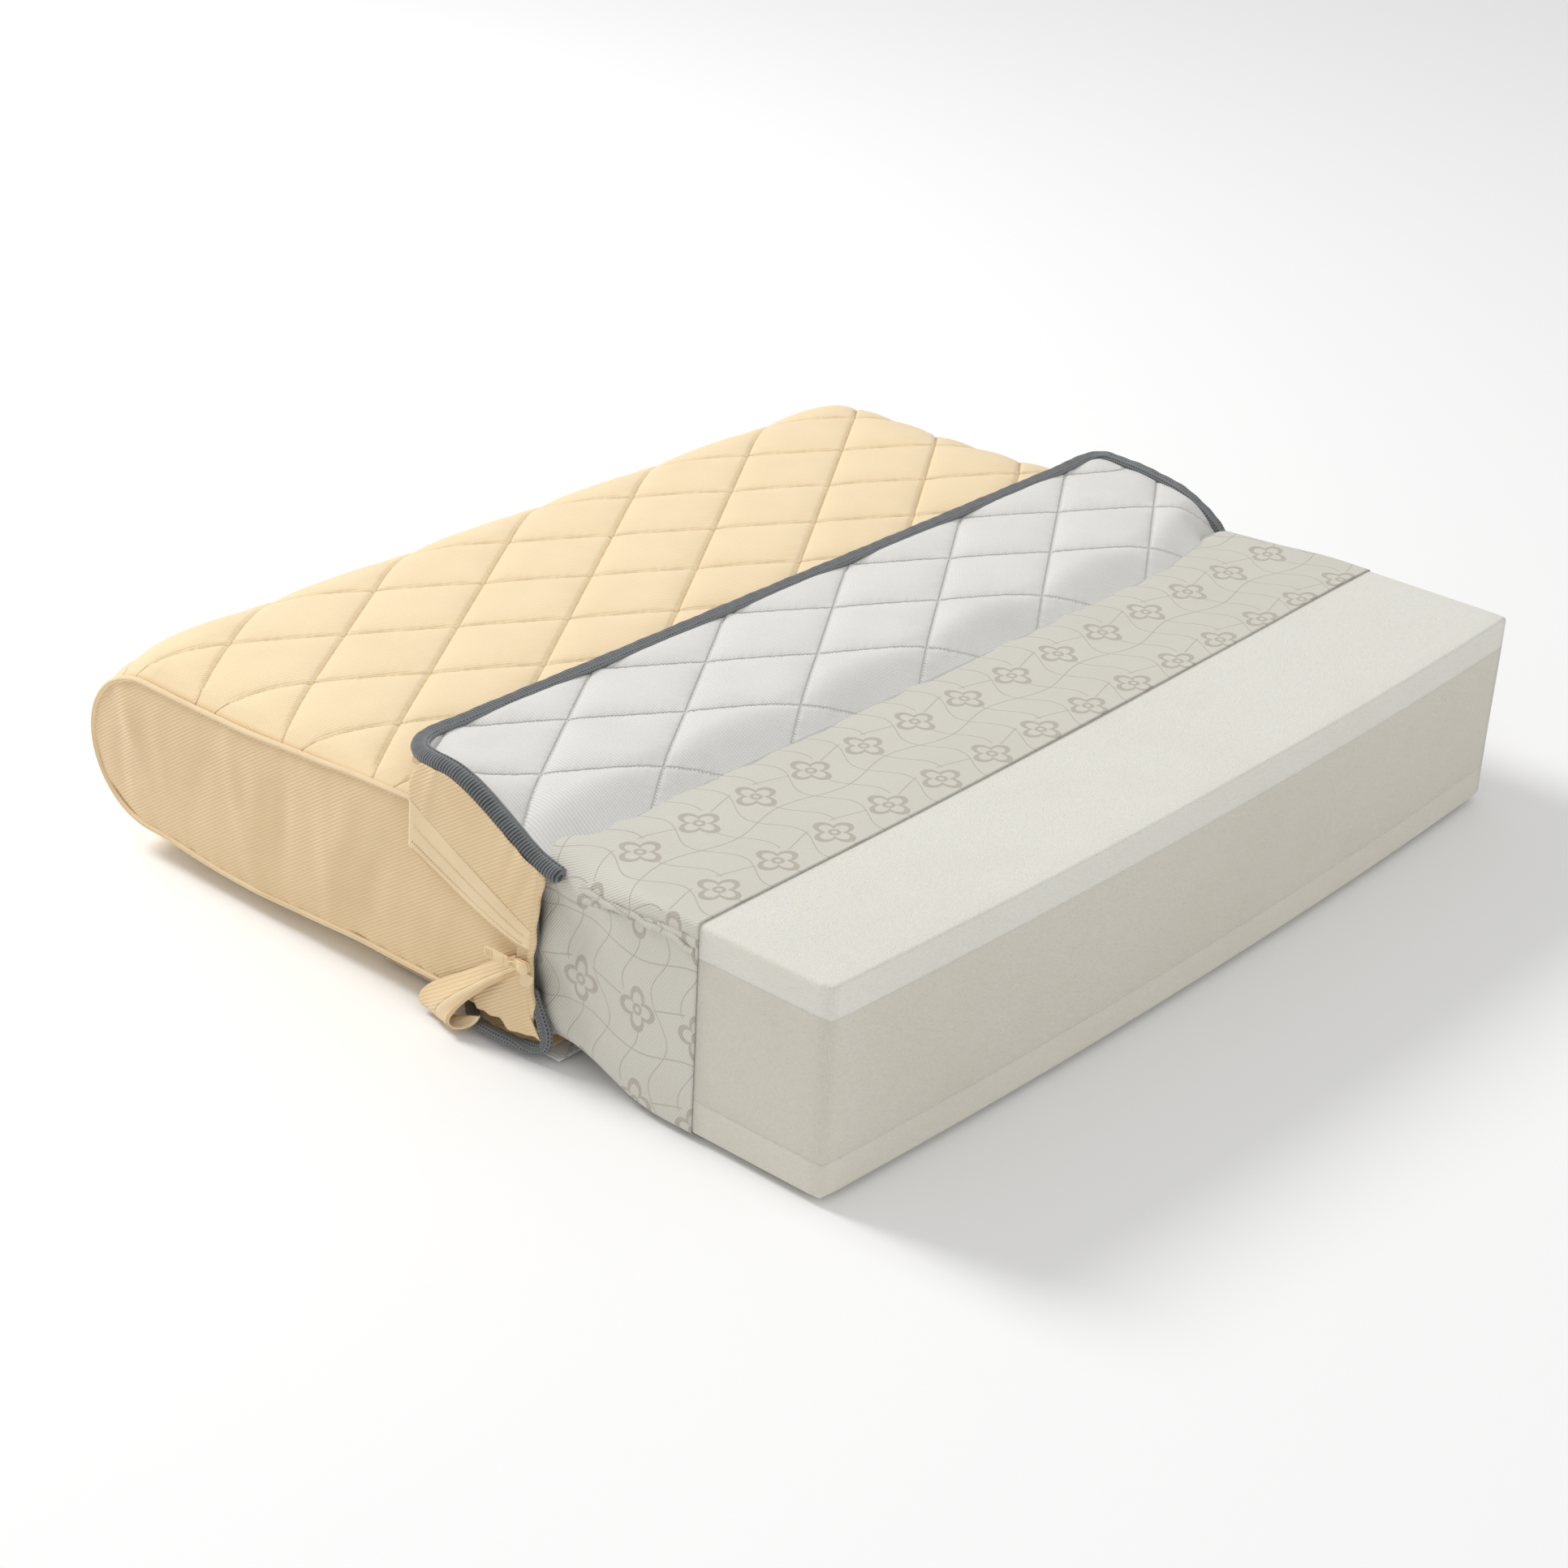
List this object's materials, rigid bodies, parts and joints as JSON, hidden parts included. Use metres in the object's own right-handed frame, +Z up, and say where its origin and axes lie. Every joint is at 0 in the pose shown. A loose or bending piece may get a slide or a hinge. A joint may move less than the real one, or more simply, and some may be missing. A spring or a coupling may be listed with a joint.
{
  "type": "memory foam mattress",
  "caption": "Short layered memory foam mattress in a stretch inner cover and a zipped, piped, diamond-quilted outer cover, turned back at one end.",
  "frame": {"origin": "middle of the footprint, on the floor", "axes": "+X across the width to the side without the slider, +Y from the uncovered foam end to the closed end of the cover, +Z up"},
  "size_m": [0.95, 0.8118, 0.204],
  "materials": {
    "comfort_foam": "open-cell memory foam, off-white, finely pored",
    "core_foam": "open-cell foam, warm grey-white",
    "base_foam": "open-cell foam, off-white",
    "printed_stretch_fabric": "thin stretch jersey with a fine printed grid",
    "quilted_fabric": "fine twill, cream yellow, diamond quilted",
    "wadding": "polyester fibre wadding",
    "white_lining": "ribbed white knit",
    "grey_mesh_binding": "grey mesh binding tape",
    "piping_fabric": "twill covered cord",
    "twill_fabric": "beige diagonal twill",
    "zip_tape": "woven zip tape, beige",
    "zip_coil": "moulded nylon coil, beige",
    "slider_metal": "beige enamel",
    "pull_tab": "moulded tab, beige"
  },
  "bodies": {
    "mattress": {"cover_bottom_fabric": "quilted_fabric", "cover_bottom_lining": "white_lining", "cover_bottom_wadding": "wadding", "cover_end_fabric": "quilted_fabric", "cover_end_lining": "white_lining", "cover_end_wadding": "wadding", "cover_top_fabric": "quilted_fabric", "cover_top_lining": "white_lining", "cover_top_wadding": "wadding", "foam_base_layer": "base_foam", "foam_comfort_layer": "comfort_foam", "foam_support_core": "core_foam", "inner_cover_end": "printed_stretch_fabric", "inner_cover_seam_left": "printed_stretch_fabric", "inner_cover_seam_right": "printed_stretch_fabric", "inner_cover_side_left": "printed_stretch_fabric", "inner_cover_side_right": "printed_stretch_fabric", "inner_cover_top": "printed_stretch_fabric", "inner_cover_underside": "printed_stretch_fabric", "lower_border_zip_tape": "zip_tape", "lower_border_zip_teeth": "zip_coil", "lower_end_border": "twill_fabric", "lower_strip_left": "twill_fabric", "lower_strip_right": "twill_fabric", "lower_zip_loop_left": "zip_tape", "lower_zip_loop_right": "zip_tape", "lower_zip_tape_left": "zip_tape", "lower_zip_tape_right": "zip_tape", "lower_zip_teeth_left": "zip_coil", "lower_zip_teeth_right": "zip_coil", "mouth_binding_left": "grey_mesh_binding", "mouth_binding_right": "grey_mesh_binding", "piping_left": "piping_fabric", "piping_right": "piping_fabric", "side_gusset_left": "twill_fabric", "side_gusset_right": "twill_fabric", "under_flap_binding": "grey_mesh_binding", "under_flap_fabric": "quilted_fabric", "under_flap_lining": "white_lining", "under_flap_wadding": "wadding", "zip_end_patch_left": "zip_tape", "zip_end_patch_right": "zip_tape"},
    "flap": {"flap_binding": "grey_mesh_binding", "flap_fabric": "quilted_fabric", "flap_lining": "white_lining", "flap_wadding": "wadding"},
    "strip_left": {"upper_strip_left": "twill_fabric", "upper_zip_tape_left": "zip_tape", "upper_zip_teeth_left": "zip_coil"},
    "strip_right": {"upper_strip_right": "twill_fabric", "upper_zip_tape_right": "zip_tape", "upper_zip_teeth_right": "zip_coil"},
    "end_border": {"upper_end_border": "twill_fabric", "upper_border_zip_tape": "zip_tape", "upper_border_zip_teeth": "zip_coil"},
    "slider": {"slider_body": "slider_metal", "slider_bail": "slider_metal"},
    "pull_tab": {"pull_tab": "pull_tab"}
  },
  "joints": [
    {"name": "flap_fold", "type": "hinge", "parent": "mattress", "child": "flap", "pos_m": [0, -0.1312, 0.1844], "axis": [1, 0, 0], "range_deg": [0, 180]},
    {"name": "strip_left_turn", "type": "hinge", "parent": "flap", "child": "strip_left", "pos_m": [-0.4585, -0.0377, 0.1875], "axis": [0, 0.9818, 0.1899], "range_deg": [0, 180]},
    {"name": "strip_right_turn", "type": "hinge", "parent": "flap", "child": "strip_right", "pos_m": [0.4585, -0.0377, 0.1875], "axis": [0, -0.9818, -0.1899], "range_deg": [0, 180]},
    {"name": "end_border_turn", "type": "hinge", "parent": "flap", "child": "end_border", "pos_m": [0, 0.0598, 0.1875], "axis": [1, 0, 0], "range_deg": [0, 180]},
    {"name": "slider_travel", "type": "slide", "parent": "mattress", "child": "slider", "axis": [0, -1, 0], "range_m": [0, 0.012]},
    {"name": "pull_tab_swing", "type": "hinge", "parent": "slider", "child": "pull_tab", "pos_m": [-0.4662, -0.1021, 0.079], "axis": [0, 0, 1], "range_deg": [0, 120]}
  ],
  "couplings": [
    {"joint": "strip_left_turn", "follows": "flap_fold", "ratio": 1},
    {"joint": "strip_right_turn", "follows": "flap_fold", "ratio": 1},
    {"joint": "end_border_turn", "follows": "flap_fold", "ratio": 1}
  ]
}
